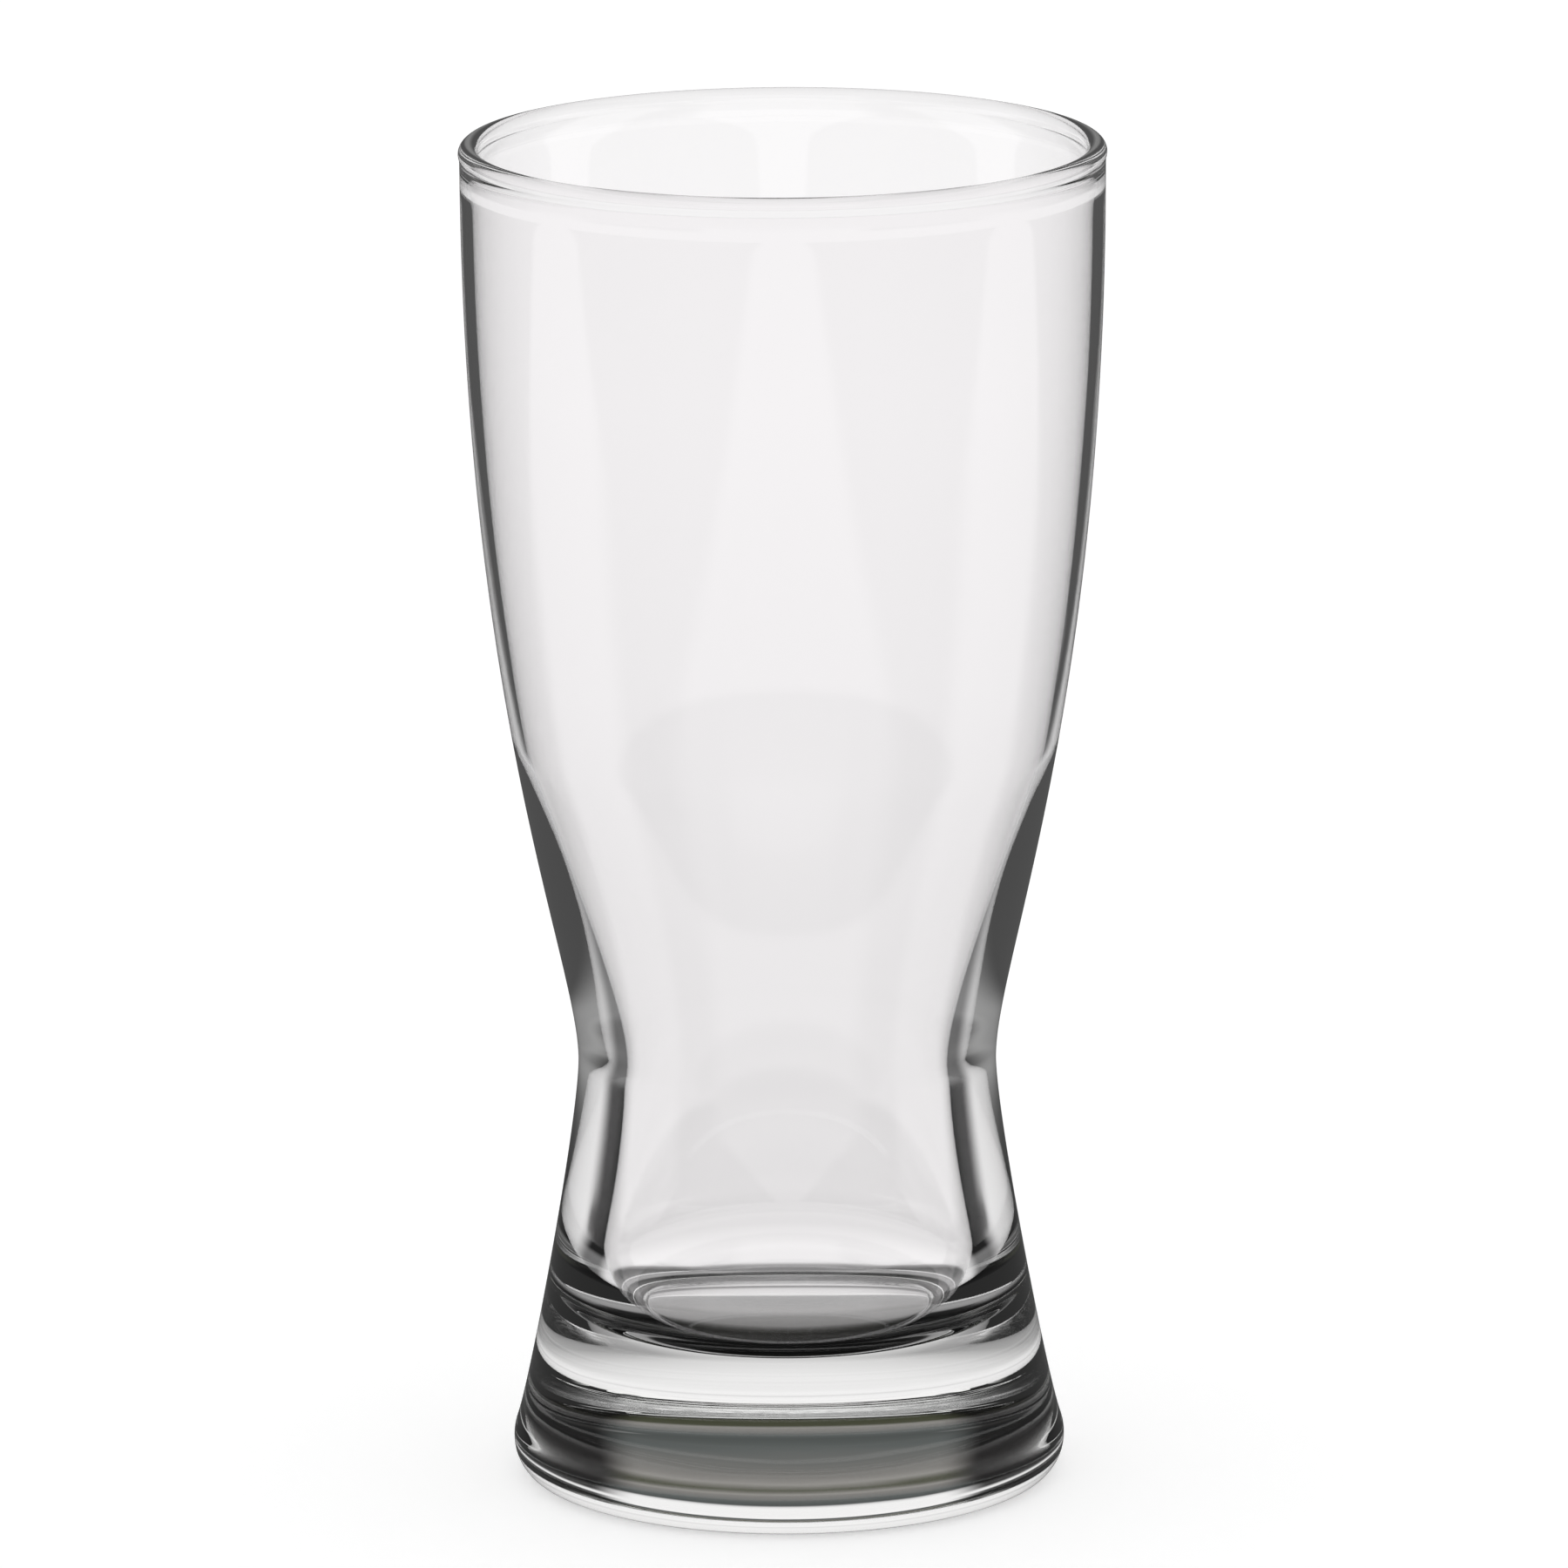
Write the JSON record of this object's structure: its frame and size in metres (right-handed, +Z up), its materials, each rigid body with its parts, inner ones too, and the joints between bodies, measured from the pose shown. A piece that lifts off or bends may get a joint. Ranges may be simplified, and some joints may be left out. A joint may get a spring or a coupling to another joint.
{
  "type": "pilsner glass",
  "caption": "Clear hourglass pilsner drinking glass: tall flared bowl, narrow waist, flared lower chamber, thick solid base and a rounded bead on the lip.",
  "frame": {"origin": "middle of the foot, on the plane of the flat ring that the glass stands on", "axes": "+Z up along the axis of revolution, from the foot to the lip; +X and +Y are free, because the glass is round"},
  "size_m": [0.0704, 0.0704, 0.149],
  "materials": {
    "clear_glass": "clear, fire-polished, faint green-grey in the thick base"
  },
  "bodies": {
    "root": {"glass": "clear_glass"}
  },
  "joints": []
}
